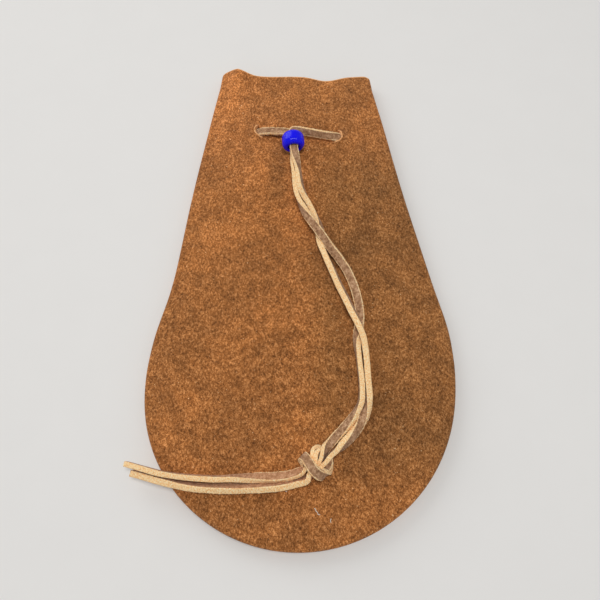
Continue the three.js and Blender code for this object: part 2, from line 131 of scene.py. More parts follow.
def add_mesh(name, points, faces, materials):
    """A mesh object from points in millimetres."""
    mesh = bpy.data.meshes.new(name)
    mesh.from_pydata((np.asarray(points) * MM).tolist(), [], faces)
    for material in materials:
        mesh.materials.append(material)
    mesh.shade_smooth()
    mesh.update()
    piece = bpy.data.objects.new(name, mesh)
    bpy.context.scene.collection.objects.link(piece)
    return piece


def face_outwards(mesh, merge=0.0):
    """Turns the faces outwards, after points that lie closer than merge are joined."""
    work = bmesh.new()
    work.from_mesh(mesh)
    if merge:
        bmesh.ops.remove_doubles(work, verts=work.verts, dist=merge)
    bmesh.ops.recalc_face_normals(work, faces=work.faces)
    work.to_mesh(mesh)
    work.free()


def ring_faces(base, rings, count):
    """Faces between rings of count points each, which follow each other from index base on."""
    faces = []
    for i in range(rings - 1):
        for j in range(count):
            a, b = base + i * count + j, base + i * count + (j + 1) % count
            faces.append((a, b, b + count, a + count))
    return faces


def cap_faces(base, rings, count):
    """The first and the last ring as faces."""
    last = base + (rings - 1) * count
    return [tuple(range(base + count - 1, base - 1, -1)), tuple(range(last, last + count))]


def eased_line(corners, steps, passes):
    """A finely stepped line along the corners, rounded by passes of easing. Its ends stay."""
    corners = np.array(corners, float)
    share = np.linspace(0, len(corners) - 1, steps)
    line = np.stack([np.interp(share, np.arange(len(corners)), corners[:, k]) for k in (0, 1)], axis=1)
    for _ in range(passes):
        line[1:-1] = (line[:-2] + 2 * line[1:-1] + line[2:]) / 4
    return line


# Camera at the photo's viewing angle: 22 degrees off straight down, from the bag's foot
CAMERA_TILT = radians(22)
CAMERA_ROLL = radians(-0.54)
CAMERA_PLACE = np.array([0.06, -94.64, 213.81])


def add_camera():
    data = bpy.data.cameras.new("camera")
    data.sensor_width = 36.0
    data.lens = 36.0
    data.clip_start = 0.01
    camera = bpy.data.objects.new("camera", data)
    bpy.context.scene.collection.objects.link(camera)
    across = Vector((1, 0, 0))
    upward = Vector((0, cos(CAMERA_TILT), sin(CAMERA_TILT)))
    right = across * cos(CAMERA_ROLL) + upward * sin(CAMERA_ROLL)
    up = upward * cos(CAMERA_ROLL) - across * sin(CAMERA_ROLL)
    turn = Matrix((right, up, right.cross(up))).transposed().to_4x4()
    camera.matrix_world = Matrix.Translation(Vector(CAMERA_PLACE * MM)) @ turn
    bpy.context.scene.camera = camera


add_camera()

# The lace's route. Free ends run from the bead to the knot and from the knot to their tips, as
# (x, y, z, tilt): tilt 0 lies flat, and at -90 the ribbon stands on its edge. The bead's own stretch
# is worked out from its axis.
UPPER_TO_KNOT = [
    (0.6, 34.4, 13.4, -66), (1.9, 30.9, 12.3, -70), (3.5, 28.1, 11.6, -76), (4.9, 25.3, 11.2, -76),
    (6.2, 22.1, 11.0, -72), (7.3, 18.8, 10.8, -60), (7.9, 15.7, 10.6, -38), (8.1, 11.7, 10.9, -52),
    (9.6, 5.6, 11.1, -75), (12.1, -0.8, 11.1, -68), (14.5, -7.0, 11.1, -62), (17.0, -13.1, 11.7, -62),
    (19.1, -18.9, 12.6, -66), (21.0, -23.7, 13.1, -74), (22.1, -27.2, 12.6, -84),
    (22.7, -31.1, 11.8, -90), (23.1, -36.4, 11.2, -90), (23.2, -42.8, 11.2, -92),
    (23.3, -47.7, 11.2, -98), (22.7, -51.2, 11.2, -120), (21.4, -55.3, 11.0, -158),
    (19.2, -59.0, 10.8, -198), (16.3, -62.4, 11.1, -228), (13.2, -65.3, 11.5, -251),
]
UPPER_TAIL = [
    (2.1, -75.4, 11.1, -112), (-1.7, -76.8, 10.8, -115), (-7.5, -77.8, 10.5, -120),
    (-12.9, -78.1, 10.4, -126), (-18.4, -78.2, 10.2, -130), (-23.9, -78.2, 9.8, -130),
    (-29.9, -78.0, 9.3, -126), (-35.9, -77.5, 8.7, -120), (-41.0, -76.6, 8.2, -114),
    (-46.0, -75.5, 8.0, -108), (-50.9, -74.2, 7.4, -104), (-56.6, -72.7, 6.4, -100),
]
LOWER_TO_KNOT = [
    (-1.1, 35.4, 12.7, -66), (-0.6, 31.4, 12.5, -72), (0.4, 27.6, 12.6, -88), (1.8, 24.3, 12.9, -110),
    (3.2, 21.5, 13.2, -130), (4.9, 18.5, 13.5, -150), (6.8, 15.2, 13.6, -160), (9.0, 12.0, 13.1, -160),
    (11.6, 8.3, 12.0, -152), (14.7, 4.2, 11.0, -152), (17.7, -0.9, 10.5, -160),
    (19.7, -6.2, 10.3, -166), (21.0, -11.4, 10.2, -170), (21.6, -16.1, 10.2, -172),
    (21.6, -20.4, 10.3, -172), (20.9, -24.3, 10.5, -160), (20.2, -29.0, 11.0, -110),
    (20.4, -33.4, 11.2, -94), (20.7, -37.8, 11.2, -92), (21.0, -42.4, 11.2, -92),
    (21.0, -46.6, 11.2, -94), (20.5, -50.4, 11.2, -102), (19.0, -53.5, 11.0, -116),
    (17.1, -56.2, 10.9, -138), (14.6, -59.1, 10.9, -160),
]
LOWER_TAIL = [
    (-0.2, -73.2, 11.7, -140), (-3.4, -74.3, 10.9, -152), (-7.5, -74.8, 10.4, -158),
    (-12.6, -74.9, 10.3, -152), (-17.5, -75.0, 10.4, -132), (-22.7, -75.0, 10.2, -114),
    (-28.0, -75.1, 9.8, -108), (-33.3, -74.8, 9.4, -105), (-38.7, -74.3, 8.8, -104),
    (-43.1, -73.7, 8.6, -102), (-47.3, -73.0, 8.9, -100), (-52.0, -71.7, 8.5, -98),
    (-58.7, -69.8, 7.4, -96),
]
# The overhand knot, in its own frame: u along the strands as they arrive, v to their left seen from
# above, w up from the leather. Rows are (u, v, w, azimuth and elevation of the ribbon's width).
# Each strand arrives on its edge, turns left under the wrap, hooks up and back over both strands,
# goes down and under them flat on the leather, and leaves on its edge under its own wrap.
KNOT_PLACE = np.array([6.0, -69.6, 9.1])
KNOT_HEADING = radians(226)
KNOT_TIGHTNESS = 0.86  # the turns are drawn in by this, across the leather
KNOT_MIDDLE = 0.6  # about this u,
KNOT_HALF_LENGTH = 3.5  # less and less beyond this far from it,
KNOT_FADE = 5.0  # and no more after this much further
UPPER_KNOT = [
    (-5.4, -2.0, 3.5, -90, 75), (-2.9, -2.2, 4.3, -90, 82), (-0.9, -2.4, 3.9, -90, 85),
    (0.9, -2.1, 2.9, -90, 80), (2.6, -1.3, 2.2, -135, 50), (4.1, 0.0, 1.9, -170, 10),
    (4.7, 1.7, 1.9, 180, 0), (4.5, 3.1, 2.2, 180, 0), (4.1, 3.9, 3.1, 180, 0),
    (3.8, 3.7, 4.3, 180, 0), (3.7, 2.8, 5.0, 183, 0), (3.9, 1.0, 5.3, 186, 0),
    (4.1, -1.2, 5.2, 180, 0), (3.8, -2.9, 4.4, 175, 0), (2.8, -3.8, 3.2, 180, 0),
    (1.1, -3.9, 2.2, 215, 0), (-1.0, -3.3, 1.95, 225, 0), (-2.6, -2.0, 1.9, 210, 0),
    (-3.3, -0.3, 1.9, 190, 5), (-3.1, 1.1, 2.0, 170, 25), (-2.3, 2.0, 2.4, 140, 55),
    (-0.8, 2.0, 3.0, 90, 75), (0.9, 1.1, 3.2, 90, 85), (2.7, 0.1, 3.0, 90, 85),
    (4.7, -0.9, 2.7, 90, 80), (6.0, -1.25, 2.4, 90, 75),
]
LOWER_KNOT = [
    (-9.3, 1.1, 2.3, 90, -5), (-6.6, 1.1, 3.0, 90, 12), (-4.4, 1.0, 3.9, 90, 40),
    (-2.5, 0.3, 4.3, 90, 66), (-0.7, -0.5, 3.9, 90, 80), (1.0, -0.8, 3.0, 90, 85),
    (2.4, -0.4, 1.8, 130, 50), (3.6, 0.8, 0.9, 165, 10), (4.3, 2.3, 0.75, 180, 0),
    (4.2, 3.9, 0.9, 180, 0), (3.9, 5.0, 1.9, 180, 0), (3.5, 5.2, 3.5, 180, 0),
    (3.3, 4.5, 5.1, 182, 0), (3.6, 3.1, 6.2, 188, 0), (4.2, 1.2, 6.6, 193, 0),
    (4.7, -1.0, 6.6, 186, 0), (4.6, -3.0, 5.8, 174, 0), (4.0, -4.4, 4.3, 170, 0),
    (2.7, -5.0, 2.5, 185, 0), (1.0, -4.9, 1.2, 215, 0), (-0.9, -3.9, 0.7, 230, 0),
    (-2.5, -2.2, 0.7, 212, 0), (-3.2, -0.2, 0.7, 190, 0), (-3.1, 1.8, 0.8, 175, 10),
    (-2.5, 3.3, 1.2, 155, 35), (-1.2, 3.9, 1.9, 115, 65), (0.1, 3.3, 2.5, 90, 75),
    (1.4, 2.5, 2.8, 90, 82), (3.2, 1.8, 2.8, 90, 85), (5.0, 1.5, 2.7, 90, 75),
]
# The part that the bag holds, from the bead out to the right, behind the back panel, and to the
# left back to the bead, as (x, y, z, heading of the ribbon's width, rise of its far edge in degrees).
HELD_ROUTE = [
    (-2.1, 59.9, 14.2, 145, 25), (-0.6, 60.6, 13.7, 108, 50), (1.6, 60.7, 13.0, 96, 56),
    (4.4, 60.8, 12.1, 90, 57), (7.4, 60.7, 11.4, 88, 57), (11.0, 60.3, 10.8, 88, 54),
    (14.0, 60.2, 10.2, 88, 44), (16.4, 60.5, 9.0, 90, 26), (19.4, 61.3, 6.3, 90, 6),
    (21.6, 61.9, 5.6, 88, 0), (24.0, 62.5, 5.3, 85, 0), (26.0, 63.2, 4.8, 85, 0),
    (26.9, 63.7, 3.8, 85, 0), (26.1, 64.2, 2.7, 85, 0), (24.2, 64.7, 2.2, 87, 0),
    *((x, LACE_ROW_Y, z, 90, 0) for x, z in (
        (21.4, 2.15), (19.4, 2.0), (14.8, 0.85), (12.0, 0.8), (0, 0.8), (-12.0, 0.8), (-14.8, 0.85),
        (-19.4, 2.0), (-21.4, 2.15), (-24.2, 2.2))),
    (-26.1, 64.9, 2.7, 90, 0), (-26.9, 64.7, 3.8, 90, 0),
    (-26.0, 64.4, 4.8, 90, 0), (-24.0, 64.1, 5.3, 90, 0), (-21.6, 63.8, 5.6, 90, 0),
    (-19.4, 63.6, 6.2, 90, 0), (-15.8, 63.4, 9.1, 90, 0), (-12.4, 63.1, 10.1, 88, 0),
    (-8.8, 62.4, 10.8, 80, 0), (-5.4, 61.3, 11.8, 60, 5), (-3.3, 60.1, 12.5, 28, 5),
]

BEAD_AXIS = np.array([sin(BEAD_LEAN), -cos(BEAD_LEAN), 0.0])
STRAIGHT_PAST = 0.4  # of the bead's ends, at both limits
STRAIGHT_START = -BEAD_LENGTH / 2 - STRAIGHT_PAST
STRAIGHT_END = BEAD_TRAVEL + BEAD_LENGTH / 2 + STRAIGHT_PAST
STRAND_OFFSET = (LACE_THICKNESS + LAYER_GAP) / 2
PAIR_TURNS = (0, -6, -18, -38, -56, -65)  # degrees, at even steps over the bead's travel
UP = np.array([0.0, 0.0, 1.0])
LACE_STEP = 0.35  # spacing of the lace's rings
LACE_CORNER = 0.28  # radius of the corners of the lace's section
FACE_STEPS = 5  # points across each face of the lace
TAIL_LENGTH = 72.0
UPPER_FULLNESS = 1.65  # thickness of the free ends, against the tight stretches
LOWER_FULLNESS = 1.40
FULL_START = 4.0
FULL_RAMP = 10.0
KNOT_PRESS = 0.85  # share of the fullness that the knot takes away
KNOT_REACH = 7.0
CUT_BAND = 0.4  # the lace is rough this far in from its cut edges
CUT_FADE = 0.3
CUT_FIBRES = (0.11, 0.45)  # depth, as a share of the size, and wavelength
CUT_WANDER = (0.03, 1.9)
FACE_WAVER = (0.05, 7.0)
LENGTHWISE = 1.4  # the cut's roughness is this much shorter along the lace


def tangents(points):
    return unit(np.gradient(points, axis=0))


def distances(points):
    """Distance along a line of points, from its start."""
    return np.concatenate([[0], np.cumsum(np.linalg.norm(np.diff(points, axis=0), axis=1))])


def tube(points, faces, line, radius, sides=8):
    """Adds a closed round tube along a line of places, with one radius or one for each place."""
    line = np.array(line, float)
    radius = np.broadcast_to(radius, len(line))
    run = tangents(line)
    across = unit(np.cross(run, (0.3, 0.2, 1.0)))
    other = np.cross(run, across)
    base = len(points)
    for i in range(len(line)):
        for k in range(sides):
            turn = 2 * pi * k / sides
            points.append(line[i] + radius[i] * (across[i] * cos(turn) + other[i] * sin(turn)))
    faces += ring_faces(base, len(line), sides) + cap_faces(base, len(line), sides)


def bead_stretch(level):
    """One of the two strands through the bead and over its travel, where they turn together."""
    lower_mouth = BEAD_LENGTH / 2
    steps = np.linspace(lower_mouth, STRAIGHT_END, len(PAIR_TURNS))
    rows = []
    for s, turn in zip((STRAIGHT_START, 0, *steps), (0, 0, *PAIR_TURNS)):
        apart = Matrix.Rotation(radians(turn), 3, Vector(BEAD_AXIS)) @ Vector(UP)
        rows.append((*(BEAD_CENTRE + BEAD_AXIS * s + np.array(apart) * level * STRAND_OFFSET), turn))
    return rows


def knot_part(route):
    """The knot's rows in the bag's frame, with the direction of the ribbon's width."""
    u = np.array([cos(KNOT_HEADING), sin(KNOT_HEADING), 0.0])
    v = np.array([sin(KNOT_HEADING), -cos(KNOT_HEADING), 0.0])
    rows = []
    for du, dv, dw, azimuth, elevation in route:
        a, e = radians(azimuth), radians(elevation)
        wide = (u * cos(a) + v * sin(a)) * cos(e) + UP * sin(e)
        loose = smooth((abs(du - KNOT_MIDDLE) - KNOT_HALF_LENGTH) / KNOT_FADE)
        drawn_in = KNOT_TIGHTNESS + (1 - KNOT_TIGHTNESS) * loose
        spot = KNOT_PLACE + (u * (du - KNOT_MIDDLE) + v * dv) * drawn_in + u * KNOT_MIDDLE + UP * dw
        rows.append((*spot, *wide))
    return np.array(rows)


def free_end(level, to_knot, knot, tail):
    """Place and direction of the width along one strand, from the bead to its tip."""
    before = np.array(bead_stretch(level) + to_knot, float)
    after = np.array(tail, float)
    knot = knot_part(knot)
    along = tangents(np.vstack([before[:, :3], knot[:, :3], after[:, :3]]))
    parts = []
    for rows, run in ((before, along[:len(before)]), (after, along[-len(after):])):
        left = unit(np.cross(UP, run))
        lift = unit(np.cross(run, left))
        tilt = np.radians(rows[:, 3:4])
        parts.append(np.hstack([rows[:, :3], left * np.cos(tilt) + lift * np.sin(tilt)]))
    return np.vstack([parts[0], knot, parts[1]])


def held_part():
    rows = np.array(HELD_ROUTE, float)
    heading, rise = np.radians(rows[:, 3]), np.radians(rows[:, 4])
    wide = np.stack([np.cos(heading) * np.cos(rise), np.sin(heading) * np.cos(rise), np.sin(rise)], axis=1)
    return np.hstack([rows[:, :3], wide])


def resampled(rows, step):
    """The rows again, a step apart on a smooth curve through them."""
    along = distances(rows[:, :3])
    slope = np.gradient(rows, along, axis=0)
    at = np.linspace(0, along[-1], ceil(along[-1] / step) + 1)
    i = np.clip(np.searchsorted(along, at, side="right") - 1, 0, len(rows) - 2)
    span = (along[i + 1] - along[i])[:, None]
    t = (at - along[i])[:, None] / span
    a, b = rows[i], rows[i + 1]
    return (a * (1 + 2 * t) * (1 - t) ** 2 + b * t * t * (3 - 2 * t)
            + slope[i] * span * t * (1 - t) ** 2 - slope[i + 1] * span * t * t * (1 - t))


def lace_stations():
    """Place, directions of width and thickness, and distance along, for every ring of the whole
    lace, and its two indices at the bead's lower mouth."""
    upper = free_end(1, UPPER_TO_KNOT, UPPER_KNOT, UPPER_TAIL)[::-1]
    lower = free_end(-1, LOWER_TO_KNOT, LOWER_KNOT, LOWER_TAIL)
    rows = np.vstack([upper, held_part(), lower])
    for i in range(1, len(rows)):
        if rows[i, 3:] @ rows[i - 1, 3:] < 0:
            rows[i, 3:] *= -1
    rows = resampled(rows, LACE_STEP)
    place = rows[:, :3]
    tangent = tangents(place)
    wide = unit(rows[:, 3:] - tangent * (rows[:, 3:] * tangent).sum(1, keepdims=True))
    along = np.arange(len(place)) * LACE_STEP
    mouth = BEAD_CENTRE + BEAD_AXIS * BEAD_LENGTH / 2
    half = len(place) // 2
    away = np.linalg.norm(place - mouth, axis=1)
    first = int(away[:half].argmin())
    second = half + int(away[half:].argmin())
    return place, wide, unit(np.cross(tangent, wide)), along, first, second


def ribbon_section():
    """Points round the lace's section: (across, through), with round corners."""
    w, t, r = LACE_WIDTH / 2, LACE_THICKNESS / 2, LACE_CORNER
    points = []
    corners = ((w - r, t - r, 0), (r - w, t - r, 90), (r - w, r - t, 180), (w - r, r - t, 270))
    for k, (cx, cy, start) in enumerate(corners):
        for turn in (0, 30, 60, 90):
            angle = radians(start + turn)
            points.append((cx + r * cos(angle), cy + r * sin(angle)))
        nx, ny, _ = corners[(k + 1) % 4]
        steps = FACE_STEPS if k % 2 == 0 else 1
        x0, y0 = points[-1]
        x1 = nx + (r if k == 3 else -r if k == 1 else 0)
        y1 = ny + (r if k == 0 else -r if k == 2 else 0)
        for j in range(1, steps + 1):
            share = j / (steps + 1)
            points.append((x0 + (x1 - x0) * share, y0 + (y1 - y0) * share))
    return np.array(points)


def lace_stretch(name, start, end):
    """The lace from one station to another, with slightly ragged cut edges."""
    section = ribbon_section()
    count, rings = len(section), end + 1 - start
    ring = np.repeat(np.arange(start, end + 1), count)
    across = np.tile(section[:, 0], rings)
    through = np.tile(section[:, 1], rings)
    at = np.stack([along[ring] * LENGTHWISE, across, through], axis=1)
    cut = smooth((np.abs(across) - LACE_WIDTH / 2 + CUT_BAND) / CUT_FADE)
    ragged = 1 + cut * (CUT_FIBRES[0] * lumps(at, CUT_FIBRES[1], 3)
                        + CUT_WANDER[0] * lumps(at, CUT_WANDER[1], 4))
    waver = lace_swell[ring] * (1 + FACE_WAVER[0] * lumps(at * (1, 0, 0), FACE_WAVER[1], 5))
    points = (place[ring] + wide[ring] * (across * ragged)[:, None]
              + thick[ring] * (through * waver)[:, None])
    tips = cap_faces(0, rings, count)
    faces = ring_faces(0, rings, count) + tips[:start == 0] + tips[1:] * (end == len(place) - 1)
    piece = add_mesh(name, points, faces, [lace_leather])
    coords = piece.data.attributes.new("lace_coords", "FLOAT_VECTOR", "POINT")
    coords.data.foreach_set("vector", np.stack([along[ring], across, through], axis=1).ravel())
    return piece


# Materials
class Nodes:
    """Short names for building a material's nodes."""

    def __init__(self, name):
        self.material = bpy.data.materials.new(name)
        self.material.use_nodes = True
        self.tree = self.material.node_tree
        self.shader = self.tree.nodes["Principled BSDF"]

    def add(self, kind, **inputs):
        node = self.tree.nodes.new(kind)
        for key, value in inputs.items():
            self.set(node.inputs[key.replace("_", " ")], value)
        return node

    def set(self, socket, value):
        if isinstance(value, bpy.types.NodeSocket):
            self.tree.links.new(value, socket)
        else:
            socket.default_value = value

    def surface(self, **inputs):
        """Inputs of the shader itself."""
        for key, value in inputs.items():
            self.set(self.shader.inputs[key.replace("_", " ")], value)

    def object_place(self):
        return self.add("ShaderNodeTexCoord").outputs["Object"]

    def noise(self, vector, scale, detail=3.0, roughness=0.55):
        node = self.add("ShaderNodeTexNoise", Vector=vector, Scale=scale, Detail=detail,
                        Roughness=roughness)
        return node.outputs["Fac"]

    def ramp(self, factor, *stops):
        """stops are (place, colour)."""
        node = self.add("ShaderNodeValToRGB", Fac=factor)
        elements = node.color_ramp.elements
        while len(elements) < len(stops):
            elements.new(0.5)
        for element, (place, colour) in zip(elements, stops):
            element.position = place
            element.color = (*colour, 1)
        return node.outputs["Color"]

    def math(self, operation, a, b=0.0):
        node = self.tree.nodes.new("ShaderNodeMath")
        node.operation = operation
        self.set(node.inputs[0], a)
        self.set(node.inputs[1], b)
        return node.outputs[0]

    def between(self, value, low, high):
        node = self.tree.nodes.new("ShaderNodeMapRange")
        node.interpolation_type = "SMOOTHSTEP"
        self.set(node.inputs["Value"], value)
        self.set(node.inputs["From Min"], low)
        self.set(node.inputs["From Max"], high)
        return node.outputs["Result"]

    def outside(self, value, low, high):
        return self.math("SUBTRACT", 1.0, self.between(value, low, high))

    def spread(self, value, low, high):
        return self.add("ShaderNodeMapRange", Value=value, To_Min=low, To_Max=high).outputs[0]

    def mix(self, factor, a, b, blend="MIX"):
        node = self.tree.nodes.new("ShaderNodeMix")
        node.data_type = "RGBA"
        node.blend_type = blend
        self.set(node.inputs["Factor"], factor)
        self.set(node.inputs[6], a if isinstance(a, bpy.types.NodeSocket) else (*a, 1))
        self.set(node.inputs[7], b if isinstance(b, bpy.types.NodeSocket) else (*b, 1))
        return node.outputs[2]

    def tinted(self, colour, factor, a, b):
        """The colour times a tint between a and b."""
        return self.mix(1.0, colour, self.mix(factor, a, b), "MULTIPLY")

    def bump(self, height, distance, strength=1.0, normal=None):
        node = self.add("ShaderNodeBump", Height=height, Distance=distance, Strength=strength)
        if normal is not None:
            self.set(node.inputs["Normal"], normal)
        return node.outputs["Normal"]


def suede_material():
    """Napped suede: fine grain with pale specks and broad brushed patches, painted shade on the right half
    between the neck and the bottom, painted light elsewhere and over the neck, and a painted shadow
    beside the lace below the bead. Places are in metres."""
    n = Nodes("suede")
    place = n.object_place()
    split = n.add("ShaderNodeSeparateXYZ", Vector=place)
    x, y = split.outputs["X"], split.outputs["Y"]
    broad = n.noise(place, 30, 3.0, 0.6)
    patches = n.noise(place, 210, 4.0, 0.65)
    streaked = n.add("ShaderNodeMapping", Vector=place, Rotation=(0, 0, 0.4),
                     Scale=(1.0, 0.75, 1.0)).outputs[0]
    nap = n.noise(streaked, 1250, 4.0, 0.75)
    grain = n.noise(streaked, 2600, 3.0, 0.8)
    mixed = n.math("ADD", n.math("MULTIPLY", nap, 0.55), n.math("MULTIPLY", grain, 0.45))
    colour = n.ramp(mixed, (0.37, (0.085, 0.030, 0.010)), (0.5, (0.325, 0.123, 0.036)),
                    (0.63, (0.70, 0.325, 0.135)))
    speck = n.noise(place, 1500, 1.0)
    colour = n.mix(n.between(speck, 0.74, 0.80), colour, (0.90, 0.58, 0.34))
    colour = n.tinted(colour, n.between(patches, 0.32, 0.68), (0.76, 0.75, 0.74), (1.17, 1.17, 1.17))
    colour = n.tinted(colour, n.between(broad, 0.35, 0.65), (0.86, 0.87, 0.88), (1.13, 1.11, 1.08))
    # Painted light and shade: the suede is painted paler everywhere except the right half between the neck
    # and the bottom, which is painted in shade. This stands in for how the light and the nap's sheen fall.
    right = n.math("MULTIPLY", n.between(x, -0.003, 0.013), n.outside(y, 0.036, 0.066))
    painted_shade_right = n.math("MULTIPLY", right, n.between(y, -0.090, -0.062))
    colour = n.tinted(colour, painted_shade_right, (1.22, 1.17, 1.02), (0.87, 0.91, 0.85))
    # Painted light over the neck and the mouth, strongest on the left.
    painted_light_neck = n.mix(n.between(x, -0.030, 0.015), (1.20, 1.17, 1.19), (1.06, 1.07, 1.10))
    colour = n.tinted(colour, n.between(y, 0.020, 0.070), (1, 1, 1), painted_light_neck)
    # Painted shadow of the bead and the lace, in a band just left of the strands below the bead.
    from_lace = n.math("ABSOLUTE", n.math("ADD", x, 0.0085))
    below_bead = n.math("MULTIPLY", n.between(y, 0.026, 0.036), n.outside(y, 0.052, 0.060))
    painted_lace_shadow = n.math("MULTIPLY", n.outside(from_lace, 0.001, 0.006), below_bead)
    colour = n.tinted(colour, painted_lace_shadow, (1, 1, 1), (0.70, 0.72, 0.74))
    rough = n.bump(patches, 0.0008, 0.5)
    fine = n.bump(nap, 0.0005, 0.8, rough)
    n.surface(Base_Color=colour, Roughness=n.spread(nap, 0.86, 1.0), Specular_IOR_Level=0.15,
              Sheen_Weight=0.15, Sheen_Roughness=0.5, Sheen_Tint=(1.0, 0.72, 0.5, 1),
              Normal=n.bump(grain, 0.0002, 0.7, fine))
    return n.material


def cut_suede_material():
    """The raw cut through the suede: paler and fibrous."""
    n = Nodes("cut_suede")
    fibres = n.noise(n.object_place(), 1500, 4.0, 0.7)
    n.surface(Base_Color=n.ramp(fibres, (0.35, (0.62, 0.26, 0.085)), (0.6, (1.0, 0.56, 0.26))),
              Roughness=0.95, Normal=n.bump(fibres, 0.0003))
    return n.material


def lace_material(half_length):
    """Grey-brown faces, warmer on the two tails, and pale fibrous cut edges."""
    n = Nodes("lace_leather")
    coords = n.tree.nodes.new("ShaderNodeAttribute")
    coords.attribute_name = "lace_coords"
    vector = coords.outputs["Vector"]
    split = n.add("ShaderNodeSeparateXYZ", Vector=vector)
    from_middle = n.math("ABSOLUTE", n.math("SUBTRACT", split.outputs["X"], half_length))
    on_tail = n.between(from_middle, half_length - TAIL_LENGTH - 6, half_length - TAIL_LENGTH + 6)
    fuzz = n.noise(vector, 2.6, 4.0, 0.75)
    mottle = n.noise(vector, 0.9, 4.0, 0.7)
    stray = n.math("MULTIPLY", n.math("SUBTRACT", fuzz, 0.5), 0.5)
    reach = n.math("ADD", n.math("ABSOLUTE", split.outputs["Y"]), stray)
    cut = n.between(reach, LACE_WIDTH / 2 - 0.42, LACE_WIDTH / 2 - 0.18)
    face = n.ramp(mottle, (0.32, (0.18, 0.085, 0.040)), (0.5, (0.40, 0.215, 0.110)),
                  (0.68, (0.68, 0.43, 0.26)))
    tail_face = n.ramp(mottle, (0.32, (0.31, 0.135, 0.058)), (0.5, (0.49, 0.24, 0.118)),
                       (0.68, (0.73, 0.41, 0.24)))
    edge = n.ramp(fuzz, (0.32, (0.70, 0.34, 0.125)), (0.46, (1.0, 0.60, 0.27)),
                  (0.60, (1.0, 0.84, 0.52)))
    rough = n.bump(mottle, 0.0003, 0.8)
    n.surface(Base_Color=n.mix(cut, n.mix(on_tail, face, tail_face), edge), Roughness=0.85,
              Specular_IOR_Level=0.2, Sheen_Weight=0.1, Normal=n.bump(fuzz, 0.00025, 0.9, rough))
    return n.material


def bead_material():
    n = Nodes("blue_bead")
    place = n.object_place()
    cloud = n.noise(place, 160, 2.0)
    scuff = n.noise(place, 900, 3.0, 0.6)
    n.surface(Base_Color=n.mix(cloud, (0.002, 0.001, 0.80), (0.004, 0.002, 0.95)),
              Roughness=n.spread(scuff, 0.08, 0.2), Specular_IOR_Level=0.33,
              Normal=n.bump(scuff, 0.00002, 0.5))
    return n.material


def plain_material(name, scale, dark, pale, roughness, height=0.0):
    """One colour, faintly mottled, with a bump of some height in metres."""
    n = Nodes(name)
    mottle = n.noise(n.object_place(), scale, 2.0)
    n.surface(Base_Color=n.mix(mottle, dark, pale), Roughness=roughness)
    if height:
        n.surface(Normal=n.bump(mottle, height))
    return n.material


suede = suede_material()
cut_suede = cut_suede_material()

# The lace: two free ends, and the part that the bag holds
place, wide, thick, along, first, second = lace_stations()
past_straight = (place - BEAD_CENTRE) @ BEAD_AXIS - STRAIGHT_END
in_knot = gauss(np.linalg.norm(place[:, :2] - KNOT_PLACE[:2], axis=1), KNOT_REACH)
fullness = np.where(along < along[-1] / 2, UPPER_FULLNESS, LOWER_FULLNESS) - 1
lace_swell = 1 + fullness * smooth((past_straight + FULL_START) / FULL_RAMP) * (1 - KNOT_PRESS * in_knot)
lace_leather = lace_material(along[-1] / 2)
upper_end = lace_stretch("lace_end_upper", 0, first)
lace_held = lace_stretch("lace_held", first, second)
lower_end = lace_stretch("lace_end_lower", second, len(place) - 1)
for piece, line in ((upper_end, place[first::-1]), (lower_end, place[second:])):
    length = float(np.linalg.norm(np.diff(line, axis=0), axis=1).sum()) * MM
for piece in (upper_end, lace_held, lower_end):
    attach(piece, "bag")
    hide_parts("drawstring_lace")

# The two panels. A panel is a grid: rows run in from the edge to the middle line, down the right
# side and back up the left, and columns run from the seam allowance round the fold and over.
STRAIGHT_ROWS = 118
ARC_ROWS = 78
RIM_WIDTH = 0.35  # the paler line along the cut edge of the mouth
SQUARE_MOUTH = 10.0  # over this much of the side the rows turn square to it
SPINE_DROP = 2.0  # how far below their edge points the rows meet the middle line
SPINE_END_DROP = 12.0
FLAP_STEPS = 6
FOLD_STEPS = 10
NEAR_EDGE = 8.5
NEAR_STEPS = 10
ACROSS_STEPS = 50
EASED_COLUMNS = 8  # past the fold, where the panel's height is eased
EASED_PASSES = 8
SAME_POINT = 1e-7
STITCH_PITCH = 3.4
PUCKER_HEIGHT = 0.07
WORN_FORMS = ((0.30, 34.0), (0.13, 12.0), (0.05, 4.6))  # height and wavelength
SOFT_FORMS = [  # x, y, half width, half length and height of dents and swells
    (-3, 34, 5, 15, -0.35), (-32, -16, 6, 20, -0.35), (28, 28, 7, 18, -0.3), (-4, -8, 16, 18, 0.3),
    (-28, 95, 6, 8, 2.2),
]
RIDGE_LIFT = LACE_FLOOR_GAP + LACE_THICKNESS + LAYER_GAP
RIDGE_FLAT = LACE_WIDTH / 2 + 1.2
RIDGE_SLOPE = 4.8


def centre_line(y):
    return SWAY * gauss(y - (BELLY_Y + SWAY_ABOVE_BELLY), SWAY_HALF_LENGTH) - ORIGIN_X


def mouth_line(x):
    rise = np.where(x < 0, CORNER_RISE_LEFT, CORNER_RISE_RIGHT) * (np.abs(x) / MOUTH_HALF_WIDTH) ** 3
    rise = rise + MOUTH_BUMP * gauss(x - MOUTH_BUMP_X, MOUTH_BUMP_HALF_WIDTH)
    rise = rise - MOUTH_DIP * gauss(x - MOUTH_DIP_X, MOUTH_DIP_HALF_WIDTH)
    into_corner = clamp01((np.abs(x - centre_line(MOUTH_Y)) - MOUTH_HALF_WIDTH) / CORNER_ROUND + 1)
    return MOUTH_Y - MOUTH_INSET + rise - CORNER_ROUND * (1 - np.sqrt(1 - into_corner ** 2))


